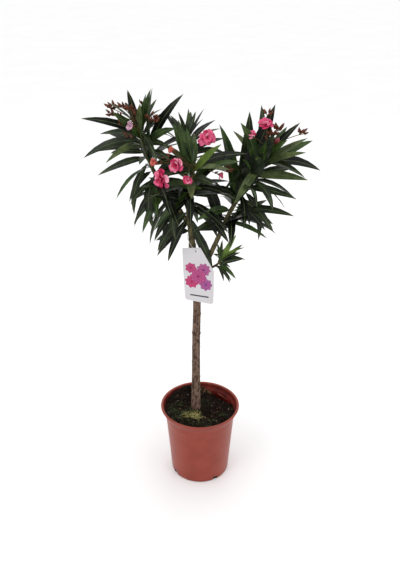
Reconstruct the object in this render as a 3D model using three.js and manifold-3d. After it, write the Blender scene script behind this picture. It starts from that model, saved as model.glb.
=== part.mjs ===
// A potted oleander grown as a small standard tree: a moulded nursery pot, the compost in it, one woody
// trunk, the boughs that it forks into, the masses of foliage on them, and a label hung round the stem.
// Millimetres, +Z up, the front towards -Y. The origin is the centre of the pot's flat underside.
import * as THREE from 'three';
import { mergeVertices } from 'three/addons/utils/BufferGeometryUtils.js';
import Module from 'manifold-3d';

const wasm = await Module();
wasm.setup();

// Driving dimensions
const GAP = 0.3; // clearance between pieces that touch
const CUT_GAP = 0.45; // clearance where a piece is cut round a faceted neighbour
const POT_HEIGHT = 186;
const POT_RIM_RADIUS = 95;
const POT_BASE_RADIUS = 71;
const POT_BODY_TOP_RADIUS = 84.2; // just under the lip
const POT_LIP_HEIGHT = 15;
const POT_WALL = 2;
const POT_FLOOR = 3;
const POT_SIDES = 40; // the compost has the same, so that it clears the wall all round
const DRAIN_SLOTS = 4;
const DRAIN_SLOT_WIDTH = 11;
const DRAIN_SLOT_HEIGHT = 5;
const DRAIN_SLOT_TURN = 31; // degrees from the front to the first slot
const SOIL_LEVEL = 176.4; // the flat seat under the trunk
const SOIL_SEAT_RADIUS = 17;
const SOIL_EDGE_RISE = 3; // the compost is dished, and higher at the wall
const SOIL_HOLLOW = 18; // how far it has sunk at the wall in one place
const SOIL_HOLLOW_BEARING = 50; // degrees from +X, at the back right
const SOIL_HOLLOW_SPREAD = 24;
const TRUNK_TOP = 607; // the height of the fork
const TRUNK_RADIUS = 10.2; // above the rooted cutting
const TRUNK_TOP_RADIUS = 8;
const TRUNK_CUTTING_STEP = 1; // how much thicker the rooted cutting is
const TRUNK_FLARE = 0.5; // and how much its foot adds at the soil
const TRUNK_STEPS = 16;
const CARD_WIDTH = 68;
const CARD_HEIGHT = 130;
const CARD_THICKNESS = 0.8;
const CARD_HOLE_RADIUS = 2.4;
const LOOP_RADIUS = 0.8;
const LOBE_HALF_ANGLE = 0.36; // radians between a leaf lobe's tip and its foot, seen from the mass's centre
const LOBE_POWER = 1.2;
const UNEVENNESS = 0.15;
const MASS_DETAIL = 4; // how finely the ball that a mass starts from is divided
const MASS_CLEARANCE = 1.03; // a mass is cut back to this times its neighbour's size

const PLASTIC = { color: 0x9c4e42, roughness: 0.5, metalness: 0 };
const COMPOST = { color: 0x211914, roughness: 1, metalness: 0 };
const BARK = { color: 0x6b5a4c, roughness: 0.9, metalness: 0 };
const GREEN_BARK = { color: 0x4a4a30, roughness: 0.8, metalness: 0 };
const LEAF = { color: 0x2f4026, roughness: 0.45, metalness: 0 };
const CARD = { color: 0xe9e6e8, roughness: 0.4, metalness: 0 };

// A solid for joining and cutting, from a closed geometry.
function solidOf(geometry) {
  const bare = geometry.clone();
  bare.deleteAttribute('normal');
  bare.deleteAttribute('uv');
  const merged = mergeVertices(bare, 1e-4);
  const mesh = new wasm.Mesh({
    numProp: 3,
    vertProperties: merged.attributes.position.array,
    triVerts: merged.index.array,
  });
  return new wasm.Manifold(mesh);
}

// The geometry of a solid's largest body, so that a tip cut off by a neighbour is dropped.
function geometryOf(solid) {
  const bodies = solid.decompose().sort((a, b) => b.volume() - a.volume());
  const mesh = bodies[0].getMesh();
  const geometry = new THREE.BufferGeometry();
  geometry.setAttribute('position', new THREE.BufferAttribute(mesh.vertProperties, 3));
  geometry.setIndex(new THREE.BufferAttribute(mesh.triVerts, 1));
  geometry.computeVertexNormals();
  return geometry;
}

function meshOf(name, solid, finish) {
  const mesh = new THREE.Mesh(geometryOf(solid), new THREE.MeshStandardMaterial(finish));
  mesh.name = name;
  return mesh;
}

// ---- Pot: one thin moulded wall of revolution with a rolled lip, and drain slots in its bottom edge.
// Its inner wall, from the floor up, as radius and height.
const INNER_WALL = [
  [POT_BASE_RADIUS - POT_WALL - 3, POT_FLOOR],
  [POT_BASE_RADIUS - POT_WALL, 8],
  [POT_BODY_TOP_RADIUS - POT_WALL, POT_HEIGHT - POT_LIP_HEIGHT],
  [POT_RIM_RADIUS - 8.2, POT_HEIGHT - 10],
  [POT_RIM_RADIUS - 6.4, POT_HEIGHT - 2.5],
];

function potSolid() {
  const lipFoot = POT_HEIGHT - POT_LIP_HEIGHT;
  const profile = [
    [0, 0],
    [POT_BASE_RADIUS - 4.5, 0],
    [POT_BASE_RADIUS - 1.2, 2.5],
    [POT_BASE_RADIUS, 6],
    [POT_BODY_TOP_RADIUS, lipFoot - 1],
    [POT_RIM_RADIUS - 6.2, lipFoot + 0.6],
    [POT_RIM_RADIUS - 4.4, lipFoot + 3],
    [POT_RIM_RADIUS - 3.4, POT_HEIGHT - 5],
    [POT_RIM_RADIUS - 0.8, POT_HEIGHT - 3.5],
    [POT_RIM_RADIUS, POT_HEIGHT - 1.8],
    [POT_RIM_RADIUS - 0.8, POT_HEIGHT],
    [POT_RIM_RADIUS - 3.2, POT_HEIGHT],
    ...INNER_WALL.toReversed(),
    [0, POT_FLOOR],
  ].map(([radius, height]) => new THREE.Vector2(radius, height));
  const wall = new THREE.LatheGeometry(profile, POT_SIDES);
  wall.rotateX(Math.PI / 2);
  let pot = solidOf(wall);
  for (let i = 0; i < DRAIN_SLOTS; i += 1) {
    const slot = new THREE.BoxGeometry(DRAIN_SLOT_WIDTH, 14, DRAIN_SLOT_HEIGHT * 2);
    slot.translate(0, -POT_BASE_RADIUS, 0);
    slot.rotateZ(THREE.MathUtils.degToRad(DRAIN_SLOT_TURN + (i * 360) / DRAIN_SLOTS));
    pot = pot.subtract(solidOf(slot));
  }
  return pot;
}

// ---- Compost: fills the pot to just under the rim, flat under the trunk and sunk at the back right.
function compostTop(x, y) {
  const away = THREE.MathUtils.smoothstep(Math.hypot(x, y), SOIL_SEAT_RADIUS, POT_BODY_TOP_RADIUS);
  const bearing = THREE.MathUtils.radToDeg(Math.atan2(y, x));
  const hollow = SOIL_HOLLOW * Math.exp(-0.5 * ((bearing - SOIL_HOLLOW_BEARING) / SOIL_HOLLOW_SPREAD) ** 2);
  const clods = Math.sin(x * 0.11 + 1) * Math.cos(y * 0.13) * 1.2;
  return SOIL_LEVEL + away * (SOIL_EDGE_RISE - hollow + clods);
}

// The radius that the compost reaches at a height: just inside the wall, and no wider where the lip flares.
function compostRadius(height) {
  const [[foot, low], [top, high]] = INNER_WALL.slice(1, 3);
  return THREE.MathUtils.mapLinear(Math.min(height, high), low, high, foot, top) - 2 * GAP;
}

function compostSolid() {
  const lipFoot = POT_HEIGHT - POT_LIP_HEIGHT;
  const edge = compostRadius(SOIL_LEVEL);
  const profile = [
    [0, POT_FLOOR + GAP],
    [INNER_WALL[0][0] - 1, POT_FLOOR + GAP],
    [compostRadius(8) - GAP, 8 + GAP],
    [edge, lipFoot],
    [edge, SOIL_LEVEL],
    [edge * 0.75, SOIL_LEVEL],
    [edge * 0.5, SOIL_LEVEL],
    [SOIL_SEAT_RADIUS, SOIL_LEVEL],
    [0, SOIL_LEVEL],
  ].map(([radius, height]) => new THREE.Vector2(radius, height));
  const heap = new THREE.LatheGeometry(profile, POT_SIDES);
  heap.rotateX(Math.PI / 2);
  const { position } = heap.attributes;
  for (let i = 0; i < position.count; i += 1) {
    const [x, y, z] = [position.getX(i), position.getY(i), position.getZ(i)];
    if (z >= lipFoot) {
      const top = compostTop(x, y);
      const height = z < SOIL_LEVEL - 1 ? Math.min(lipFoot - GAP, top - 1) : top;
      const inset = compostRadius(height) / edge;
      position.setXYZ(i, x * inset, y * inset, height);
    }
  }
  return solidOf(heap);
}

// ---- Limbs: a cylinder whose rings follow a curve, with a radius for each point of the curve.
function limb({ points, radii, sides = 8, steps = 8, level = false }) {
  const path = new THREE.CatmullRomCurve3(points.map((p) => new THREE.Vector3(...p)));
  const frames = path.computeFrenetFrames(steps, false);
  const tube = new THREE.CylinderGeometry(1, 1, 1, sides, steps);
  const { position } = tube.attributes;
  const along = new THREE.Vector3();
  for (let i = 0; i < position.count; i += 1) {
    const step = Math.round((position.getY(i) + 0.5) * steps);
    const fraction = step / steps;
    const place = fraction * (radii.length - 1);
    const before = Math.min(Math.floor(place), radii.length - 2);
    const radius = THREE.MathUtils.lerp(radii[before], radii[before + 1], place - before);
    const across = level ? new THREE.Vector3(1, 0, 0) : frames.normals[step];
    const over = level ? new THREE.Vector3(0, -1, 0) : frames.binormals[step].clone().negate();
    path.getPointAt(fraction, along);
    along.addScaledVector(across, position.getX(i) * radius);
    along.addScaledVector(over, position.getZ(i) * radius);
    position.setXYZ(i, along.x, along.y, along.z);
  }
  return tube;
}

// What is cut away from the pieces round a limb: the limb with a clearance all over.
function limbRoom(part) {
  const [first, second] = part.points.slice(0, 2).map((p) => new THREE.Vector3(...p));
  const [before, last] = part.points.slice(-2).map((p) => new THREE.Vector3(...p));
  const start = first.clone().addScaledVector(second.sub(first).normalize(), -CUT_GAP);
  const end = last.clone().addScaledVector(before.sub(last).normalize(), -CUT_GAP);
  const points = [start.toArray(), ...part.points.slice(1, -1), end.toArray()];
  return limb({ ...part, points, radii: part.radii.map((radius) => radius + CUT_GAP) });
}

// The trunk leans a little and thins upwards. It flares at the soil, and its lowest stretch is the thicker
// wood of the rooted cutting.
function trunkRadius(along) {
  const taper = THREE.MathUtils.lerp(TRUNK_RADIUS, TRUNK_TOP_RADIUS, along);
  const cutting = TRUNK_CUTTING_STEP * (1 - THREE.MathUtils.smoothstep(along, 0.11, 0.17));
  return taper + cutting + TRUNK_FLARE * Math.exp(-40 * along);
}

const TRUNK = {
  points: [
    [-10, -3, SOIL_LEVEL + GAP],
    [-9.5, 0, 260],
    [-9, 2, 363],
    [-7, 3, 467],
    [-10, 2, 540],
    [-17, 0, TRUNK_TOP],
  ],
  radii: Array.from({ length: TRUNK_STEPS + 1 }, (_, i) => trunkRadius(i / TRUNK_STEPS)),
  sides: 12,
  steps: TRUNK_STEPS,
  level: true,
};

// The leader stands on the trunk's cut top; the other boughs start on the trunk's or the leader's side.
const BOUGHS = {
  bough_front: {
    points: [[-17.2, 0, TRUNK_TOP + GAP], [-19, 0, 637], [-24, -5, 678], [-19.5, -20, 739], [-14, -32, 778]],
    radii: [7.4, 6.2, 5.6, 5.0, 4.4],
    level: true,
  },
  bough_left: {
    points: [[-20, -1, 645], [-38, -2, 680], [-63, 0, 719], [-98, 5, 776], [-112, 8, 819], [-118, 9, 838]],
    radii: [5.2, 5, 4.6, 4.2, 3.8, 3.4],
    steps: 10,
  },
  bough_back: {
    points: [[-22, -2, 660], [-25, 14, 684], [-27, 28, 708], [-30, 50, 770], [-28, 57, 803]],
    radii: [5, 4.8, 4.6, 4.2, 3.6],
  },
  bough_right: {
    points: [
      [-8, 3.5, 495], [2, 6, 534], [15, 8, 563], [41, 5, 626], [65.5, 0, 687], [98, 0, 745], [120, 0, 775],
    ],
    radii: [6, 5.6, 5.4, 5.2, 4.8, 4.4, 3.6],
    steps: 12,
  },
  side_shoot: {
    points: [[8, 6, 546], [22, 2, 551], [34, -3, 559], [46, -7, 572]],
    radii: [3, 2.8, 2.6, 2.2],
    steps: 5,
  },
};

// ---- Foliage: each mass is one uneven ball drawn out into leaf lobes. Its leaves stand in whorls of three
// down a shoot, each whorl turned half a step from the one above it: the young top leaves stand up, and the
// older ones lower down are longer and hang outwards. Each of a mass's furthest leaves is named in longest,
// by its bearing from +X, its rise above level and its length, in degrees and millimetres.
const MASSES = [
  {
    name: 'foliage_left', centre: [-113, 8, 838], axis: [-0.3, 0.05, 1], core: 32, tall: 1.3, whorls: 5,
    above: 16, below: 38, angles: [34, 112], reaches: [92, 116], droop: 4, spin: 222,
    longest: [[184, 19, 132], [183, -17, 131], [178, -38, 128], [0, 48, 120], [195, 73, 104]],
  },
  {
    name: 'foliage_right', centre: [117, 0, 776], axis: [0.3, -0.1, 1], core: 32, tall: 1.3, whorls: 5,
    above: 16, below: 38, angles: [34, 112], reaches: [104, 116], droop: 6, spin: 28,
    longest: [[0, -1, 131], [-4, 50, 128], [10, 76, 136], [180, 50, 122], [0, -38, 106], [0, -72, 128]],
  },
  {
    name: 'foliage_front', centre: [-15, -33, 784], axis: [0.05, -0.3, 1], core: 30, tall: 1.1, whorls: 5,
    above: 14, below: 22, angles: [34, 106], reaches: [84, 112], droop: 6, spin: 150,
    longest: [[160, 66, 102], [-10, 20, 118]],
  },
  {
    name: 'foliage_back', centre: [-28, 54, 800], axis: [0, 0.3, 1], core: 30, tall: 1.3, whorls: 5,
    above: 14, below: 40, angles: [34, 110], reaches: [84, 110], droop: 8, spin: 80,
    longest: [[60, 20, 112], [120, 5, 114], [-30, 82, 94]],
  },
  {
    name: 'foliage_middle', centre: [-22, -4, 690], axis: [0, -0.1, 1], core: 28, tall: 1.7, whorls: 5,
    above: 44, below: 46, angles: [78, 108], reaches: [112, 100], droop: 4, spin: 200,
    longest: [[180, 8, 124], [180, -16, 124], [184, -42, 116], [176, -60, 106], [-15, -38, 110]],
  },
  {
    name: 'foliage_right_lower', centre: [56, 3, 668], axis: [0.45, 0, 0.9], core: 24, tall: 1.5, whorls: 4,
    above: 30, below: 26, angles: [74, 104], reaches: [100, 90], droop: 2, spin: 40,
    longest: [[4, -20, 116], [-12, -42, 96]],
  },
  {
    name: 'foliage_side_shoot', centre: [49, -8, 574], axis: [0.8, -0.2, 0.6], core: 13, tall: 1.2, whorls: 3,
    above: 4, below: 8, angles: [12, 105], reaches: [46, 50], droop: 6, spin: 35,
    longest: [[0, 2, 50], [-20, -66, 52]],
  },
];

// Where the lobes of a mass end, seen from its centre.
function lobeTips({ axis, whorls, above, below, angles, reaches, droop, spin, longest }) {
  const up = new THREE.Vector3(...axis).normalize();
  const side = new THREE.Vector3(0, -1, 0).cross(up).normalize();
  const front = up.clone().cross(side);
  const tips = [];
  for (let whorl = 0; whorl < whorls; whorl += 1) {
    const age = whorl / (whorls - 1);
    const lean = THREE.MathUtils.degToRad(THREE.MathUtils.lerp(angles[0], angles[1], Math.sqrt(age)));
    const reach = THREE.MathUtils.lerp(reaches[0], reaches[1], age);
    const root = THREE.MathUtils.lerp(above, -below, age);
    for (let leaf = 0; leaf < 3; leaf += 1) {
      const turn = THREE.MathUtils.degToRad(spin + leaf * 120 + whorl * 60);
      const tip = up.clone().multiplyScalar(root + reach * Math.cos(lean));
      tip.addScaledVector(side, -reach * Math.sin(lean) * Math.cos(turn));
      tip.addScaledVector(front, -reach * Math.sin(lean) * Math.sin(turn));
      tip.z -= droop * age;
      tips.push(tip);
    }
  }
  for (const [bearing, rise, length] of longest) {
    const level = length * Math.cos(THREE.MathUtils.degToRad(rise));
    const turn = THREE.MathUtils.degToRad(bearing);
    const height = length * Math.sin(THREE.MathUtils.degToRad(rise));
    tips.push(new THREE.Vector3(level * Math.cos(turn), level * Math.sin(turn), height));
  }
  return tips;
}

function massGeometry(mass, scale) {
  const ball = new THREE.IcosahedronGeometry(1, MASS_DETAIL);
  ball.deleteAttribute('normal');
  ball.deleteAttribute('uv');
  const skin = mergeVertices(ball, 1e-4);
  const { position } = skin.attributes;
  const up = new THREE.Vector3(...mass.axis).normalize();
  const rays = [];
  for (let i = 0; i < position.count; i += 1) {
    rays.push(new THREE.Vector3().fromBufferAttribute(position, i).normalize());
  }
  const lobes = lobeTips(mass).map((tip) => ({ ray: tip.clone().normalize(), reach: tip.length() }));
  for (const { ray } of lobes) {
    const nearest = rays.reduce((best, r) => (r.angleTo(ray) < best.angleTo(ray) ? r : best));
    nearest.copy(ray);
  }
  rays.forEach((ray, i) => {
    const uneven = Math.sin(ray.x * 7 + mass.spin) * Math.cos(ray.y * 6 - ray.z * 5);
    const core = mass.core * (1 + UNEVENNESS * uneven) * (1 + (mass.tall - 1) * ray.dot(up) ** 2);
    let radius = core;
    for (const lobe of lobes) {
      const near = 1 - ray.angleTo(lobe.ray) / LOBE_HALF_ANGLE;
      if (near > 0) {
        radius = Math.max(radius, core + (lobe.reach - core) * near ** LOBE_POWER);
      }
    }
    position.setXYZ(i, ...ray.clone().multiplyScalar(radius * scale));
  });
  skin.translate(...mass.centre);
  return skin;
}

// ---- Label: a thin printed card with one top corner cut off, hung by a fine loop round the leader.
const CARD_TOP_LEFT = new THREE.Vector3(-38, -13.6, TRUNK_TOP - 1);
const CARD_LEAN = THREE.MathUtils.degToRad(1.5); // the foot of the card hangs back towards the trunk
const CARD_ROLL = THREE.MathUtils.degToRad(1);
const CARD_TWIST = THREE.MathUtils.degToRad(24); // how far the foot's right end has turned to the front
const CARD_HOLE = [30, -8];

// The card's outline, larger all round by a margin. Its origin is the top left corner.
function cardOutline(margin) {
  const outline = new THREE.Shape();
  const corner = 6 + margin;
  const left = -margin;
  const right = CARD_WIDTH + margin;
  const foot = -CARD_HEIGHT - margin;
  outline.moveTo(left, margin);
  outline.lineTo(left, foot + corner);
  outline.absarc(left + corner, foot + corner, corner, Math.PI, 1.5 * Math.PI, false);
  outline.absarc(right - corner, foot + corner, corner, -0.5 * Math.PI, 0, false);
  outline.lineTo(right, -CARD_HEIGHT * 0.42);
  outline.lineTo(CARD_WIDTH * 0.57 + margin, margin);
  return outline;
}

function hangCard(outline, thickness) {
  const settings = { depth: thickness, bevelEnabled: false, curveSegments: 4 };
  const card = new THREE.ExtrudeGeometry(outline, settings);
  card.translate(-CARD_WIDTH / 2, 0, (CARD_THICKNESS - thickness) / 2);
  const { position } = card.attributes;
  const point = new THREE.Vector3();
  for (let i = 0; i < position.count; i += 1) {
    point.fromBufferAttribute(position, i);
    point.applyAxisAngle(new THREE.Vector3(0, 1, 0), (CARD_TWIST * point.y) / CARD_HEIGHT);
    position.setXYZ(i, point.x, point.y, point.z);
  }
  card.translate(CARD_WIDTH / 2, 0, 0);
  card.rotateZ(CARD_ROLL);
  card.rotateX(Math.PI / 2 - CARD_LEAN);
  card.translate(...CARD_TOP_LEFT);
  return card;
}

function cardGeometry() {
  const outline = cardOutline(0);
  const hole = new THREE.Path();
  hole.absarc(...CARD_HOLE, CARD_HOLE_RADIUS, 0, 2 * Math.PI, true);
  outline.holes.push(hole);
  return hangCard(outline, CARD_THICKNESS);
}

// The loop's two ends meet behind the stem, under a leaf joint; it passes once through the card's hole.
function loopGeometry(radius) {
  const route = [
    [-18.3, 8, 634],
    [-10, 4.4, 631],
    [-8.6, -5, 624],
    [-8.4, -13, 613],
    [-8.4, -16.1, 606],
    [-8.2, -15.9, 600],
    [-8.1, -14, 597.8],
    [-8.6, -12, 598.4],
    [-12, -11, 602],
    [-18.5, -10.8, 609],
    [-22.5, -9.6, 616],
    [-27.4, -4, 625],
    [-27, 4, 631],
    [-19.4, 8, 634],
  ].map((p) => new THREE.Vector3(...p));
  const section = new THREE.Shape();
  section.absarc(0, 0, radius, 0, 2 * Math.PI, false);
  const path = new THREE.CatmullRomCurve3(route);
  return new THREE.ExtrudeGeometry(section, { steps: 30, extrudePath: path, curveSegments: 3 });
}

// ---- Assembly
const plant = new THREE.Group();
plant.add(meshOf('pot', potSolid(), PLASTIC));
plant.add(meshOf('compost', compostSolid(), COMPOST));
plant.add(meshOf('trunk', solidOf(limb(TRUNK)), BARK));

// Each bough is cut back to a small clearance from the limbs made before it.
const rooms = [solidOf(limbRoom(TRUNK))];
for (const [name, bough] of Object.entries(BOUGHS)) {
  let solid = solidOf(limb(bough));
  for (const room of rooms) {
    solid = solid.subtract(room);
  }
  plant.add(meshOf(name, solid, name === 'bough_front' ? BARK : GREEN_BARK));
  rooms.push(solidOf(limbRoom(bough)));
}

plant.add(meshOf('label_card', solidOf(cardGeometry()), CARD));
plant.add(meshOf('label_loop', solidOf(loopGeometry(LOOP_RADIUS)), CARD));
rooms.push(solidOf(hangCard(cardOutline(CUT_GAP), CARD_THICKNESS + 2 * CUT_GAP)));
rooms.push(solidOf(loopGeometry(LOOP_RADIUS + CUT_GAP)));

// Each mass is cut round the limbs, the label and the masses made before it.
for (const mass of MASSES) {
  let solid = solidOf(massGeometry(mass, 1));
  for (const room of rooms) {
    solid = solid.subtract(room);
  }
  plant.add(meshOf(mass.name, solid, LEAF));
  rooms.push(solidOf(massGeometry(mass, MASS_CLEARANCE)));
}

export default plant;
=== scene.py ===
"""A potted oleander grown as a small standard tree: a moulded nursery pot, its compost, one woody stem that
forks into boughs, whorled leaves, double pink blooms with their buds, and a card label round the stem."""

import math
import random

import bmesh
import bpy
from mathutils import Matrix, Vector, bvhtree, noise


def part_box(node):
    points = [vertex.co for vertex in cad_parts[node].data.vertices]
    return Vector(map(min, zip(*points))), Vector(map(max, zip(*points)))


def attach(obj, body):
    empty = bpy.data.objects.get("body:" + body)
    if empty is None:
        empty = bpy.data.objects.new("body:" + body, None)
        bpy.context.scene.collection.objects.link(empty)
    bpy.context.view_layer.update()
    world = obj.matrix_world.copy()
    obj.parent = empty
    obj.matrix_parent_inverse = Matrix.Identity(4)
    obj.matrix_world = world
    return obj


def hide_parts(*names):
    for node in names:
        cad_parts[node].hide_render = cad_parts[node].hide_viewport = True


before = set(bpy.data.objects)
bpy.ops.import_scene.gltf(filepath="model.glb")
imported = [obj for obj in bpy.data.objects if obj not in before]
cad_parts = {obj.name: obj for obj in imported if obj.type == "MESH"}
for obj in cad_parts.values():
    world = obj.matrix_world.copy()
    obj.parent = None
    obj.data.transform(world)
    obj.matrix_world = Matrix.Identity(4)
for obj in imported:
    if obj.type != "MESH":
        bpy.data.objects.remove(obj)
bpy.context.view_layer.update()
MM = 0.001

# ---- The set. A pale floor that runs out of sight, a pale surround, two large softboxes over the front
# corners and one behind, and a camera at a standing height that looks a little down on the plant.
EYE = Vector((0, -1.392, 1.213))
EYE_TILT = math.radians(63.2)  # from straight down
LENS = 44.2
FLOOR_SIDE = 60
FLOOR_GREYS = (0.92, 0.94)
SURROUND = 1.06
AIM = Vector((0, 0, 0.55))  # where the softboxes point
SOFTBOXES = {  # where it stands, its side in metres, its watts
    "key": ((-1.5, -1.6, 2.5), 1.3, 13),
    "fill": ((1.7, -1.3, 2.1), 1.3, 5),
    "back": ((0.4, 2.0, 2.4), 1.6, 8),
}

world = bpy.data.worlds.new("surround")
world.use_nodes = True
world.node_tree.nodes["Background"].inputs["Color"].default_value = (1, 1, 1, 1)
world.node_tree.nodes["Background"].inputs["Strength"].default_value = SURROUND
bpy.context.scene.world = world
bpy.context.scene.view_settings.view_transform = "Standard"

camera = bpy.data.objects.new("camera", bpy.data.cameras.new("camera"))
camera.data.lens = LENS
camera.location = EYE
camera.rotation_euler = (EYE_TILT, 0, 0)
bpy.context.scene.collection.objects.link(camera)
bpy.context.scene.camera = camera

for lamp_name, (place, side, watts) in SOFTBOXES.items():
    lamp = bpy.data.lights.new(lamp_name, "AREA")
    lamp.size = side
    lamp.energy = watts
    softbox = bpy.data.objects.new(lamp_name, lamp)
    softbox.location = place
    softbox.rotation_euler = (AIM - Vector(place)).to_track_quat("-Z", "Y").to_euler()
    bpy.context.scene.collection.objects.link(softbox)


def make_object(name, mesh_maker, materials, smooth=True):
    """Turns a finished bmesh into an object at the origin, with its place in its mesh."""
    mesh = bpy.data.meshes.new(name)
    mesh_maker.to_mesh(mesh)
    mesh_maker.free()
    for material in materials:
        mesh.materials.append(material)
    for face in mesh.polygons:
        face.use_smooth = smooth
    made = bpy.data.objects.new(name, mesh)
    bpy.context.scene.collection.objects.link(made)
    return made


def tint(red, green, blue):
    """A paint chip's 0 to 255 values as a shader's linear colour."""
    return tuple((part / 255) ** 2.2 for part in (red, green, blue)) + (1,)


def two_tones(material, wander, dark, light, dark_to=0.35, light_from=0.66):
    """A ramp from one tone to another, by a value that wanders between 0 and 1."""
    tones = material.node_tree.nodes.new("ShaderNodeValToRGB")
    for element, place, colour in zip(tones.color_ramp.elements, (dark_to, light_from), (dark, light)):
        element.position = place
        element.color = colour
    material.node_tree.links.new(wander, tones.inputs["Fac"])
    return tones


def wandering(name, dark, light, scale, roughness, stretch=(1, 1, 1), relief=0.2, grain=4, depth=0.2 * MM,
              gloss=0.3):
    """A finish whose colour wanders between two tones, with a fine relief of its own grain."""
    material = bpy.data.materials.new(name)
    material.use_nodes = True
    nodes, links = material.node_tree.nodes, material.node_tree.links
    shader = nodes["Principled BSDF"]
    shader.inputs["Roughness"].default_value = roughness
    shader.inputs["Specular IOR Level"].default_value = gloss
    place = nodes.new("ShaderNodeTexCoord")
    stretching = nodes.new("ShaderNodeMapping")
    stretching.inputs["Scale"].default_value = stretch
    links.new(place.outputs["Object"], stretching.inputs["Vector"])
    clouds = nodes.new("ShaderNodeTexNoise")
    clouds.inputs["Scale"].default_value = scale
    clouds.inputs["Detail"].default_value = 5
    links.new(stretching.outputs["Vector"], clouds.inputs["Vector"])
    tones = two_tones(material, clouds.outputs["Fac"], dark, light)
    links.new(tones.outputs["Color"], shader.inputs["Base Color"])
    grains = nodes.new("ShaderNodeTexNoise")
    grains.inputs["Scale"].default_value = scale * grain
    grains.inputs["Detail"].default_value = 3
    links.new(stretching.outputs["Vector"], grains.inputs["Vector"])
    bump = nodes.new("ShaderNodeBump")
    bump.inputs["Strength"].default_value = relief
    bump.inputs["Distance"].default_value = depth
    links.new(grains.outputs["Fac"], bump.inputs["Height"])
    links.new(bump.outputs["Normal"], shader.inputs["Normal"])
    return material


floor_sheet = bmesh.new()
bmesh.ops.create_grid(floor_sheet, x_segments=2, y_segments=2, size=FLOOR_SIDE / 2)
FLOOR = wandering("floor", *((grey, grey, grey, 1) for grey in FLOOR_GREYS), 3, 0.9, relief=0)
floor = make_object("floor", floor_sheet, [FLOOR])

# ---- Pot. A nursery pot moulded in terracotta-red plastic: one thin tapered wall with a rolled lip, a low
# stacking step below it, and four drain slots in the bottom edge. It stands on its own flat underside.
pot_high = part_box("pot")[1]
POT_TOP = pot_high.z
RIM_RADIUS = pot_high.x
FOOT_RADIUS = 71 * MM
BODY_TOP_RADIUS = 84.2 * MM
BODY_TOP = POT_TOP - 16 * MM
BODY_FOOT = 5.4 * MM
BODY_RINGS = 18
STEP_HEIGHT = POT_TOP - 38 * MM  # of the stacking step
STEP_DEPTH = 0.4 * MM
STEP_SLOPE = 2.5 * MM
WALL = 2 * MM
FLOOR_TOP = 3 * MM
POT_SEGMENTS = 160
SLOTS = 4
SLOT_BEARING = math.radians(-59)  # of the first drain slot, from +X
SLOT_SEGMENTS = 4.5  # on each side of its middle
SLOT_FOOT = 0.5 * MM
SLOT_TOP = 9.6 * MM
SLOT_FLOOR_RADIUS = 64 * MM
LEVEL = 0.95  # how upright a face's normal is on the pot's floor
LIP_OUTSIDE = ((-6.3, -14.6), (-5.5, -13.6), (-4.8, -11.6), (-4.1, -8), (-3.5, -5), (-3.2, -4.3),
               (-1.4, -3.8), (-0.4, -3.1), (0, -2), (-0.3, -0.8), (-1.1, -0.1), (-2.2, 0), (-3.2, -0.2),
               (-5.4, -1.4), (-6.4, -2.6), (-7.2, -6), (-8.2, -10), (-9.6, -12.2), (-12.8, -14.8))
FOOT_OUTSIDE = ((66.8, 0), (69.9, 1.6))  # radius and height in millimetres
FOOT_INSIDE = ((68.2, 6.4), (66.9, 4), (65.6, 3))
# How far up the inner wall the painted shade reaches, to just under the rim's bead.
SHADE_PAINTED_TO = POT_TOP - 0.8 * MM  # how far up the inner wall


def body_radius(height):
    """The tapered wall's outer radius, a hair smaller below the stacking step."""
    share = (height - BODY_FOOT) / (BODY_TOP - BODY_FOOT)
    radius = FOOT_RADIUS + (BODY_TOP_RADIUS - FOOT_RADIUS) * share
    return radius - (STEP_DEPTH if height < STEP_HEIGHT else 0)


wall_heights = [BODY_FOOT + (BODY_TOP - BODY_FOOT) * i / BODY_RINGS for i in range(BODY_RINGS + 1)]
wall_heights = sorted(wall_heights + [STEP_HEIGHT - STEP_SLOPE, STEP_HEIGHT, SLOT_TOP])
inner_heights = [height for height in reversed(wall_heights[:-1]) if height > SLOT_TOP - MM]
pot_profile = (
    [(0, 0), (SLOT_FLOOR_RADIUS, 0)]
    + [(radius * MM, height * MM) for radius, height in FOOT_OUTSIDE]
    + [(body_radius(height), height) for height in wall_heights]
    + [(RIM_RADIUS + outward * MM, POT_TOP + upward * MM) for outward, upward in LIP_OUTSIDE]
    + [(body_radius(height) - WALL, height) for height in inner_heights]
    + [(radius * MM, height * MM) for radius, height in FOOT_INSIDE]
    + [(SLOT_FLOOR_RADIUS, FLOOR_TOP), (0, FLOOR_TOP)]
)

pot_shell = bmesh.new()
outline = [pot_shell.verts.new((radius, 0, height)) for radius, height in pot_profile]
for lower, upper in zip(outline, outline[1:]):
    pot_shell.edges.new((lower, upper))
bmesh.ops.spin(pot_shell, geom=pot_shell.verts[:] + pot_shell.edges[:], cent=(0, 0, 0), axis=(0, 0, 1),
               dvec=(0, 0, 0), angle=2 * math.pi, steps=POT_SEGMENTS, use_merge=True)
bmesh.ops.remove_doubles(pot_shell, verts=pot_shell.verts, dist=0.01 * MM)
slot_sides = []
for slot in range(SLOTS):
    bearing = SLOT_BEARING + slot * 2 * math.pi / SLOTS
    window = []
    for face in pot_shell.faces:
        middle = face.calc_center_median()
        turn = (math.atan2(middle.y, middle.x) - bearing + math.pi) % (2 * math.pi) - math.pi
        near = abs(turn) < SLOT_SEGMENTS * math.pi / POT_SEGMENTS
        if near and SLOT_FOOT < middle.z < SLOT_TOP and abs(face.normal.z) < LEVEL:
            window.append(face)
    bmesh.ops.delete(pot_shell, geom=window, context="FACES")
    open_edges = [edge for edge in pot_shell.edges if edge.is_boundary]
    slot_sides += bmesh.ops.bridge_loops(pot_shell, edges=open_edges)["faces"]
bmesh.ops.recalc_face_normals(pot_shell, faces=pot_shell.faces)

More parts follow.
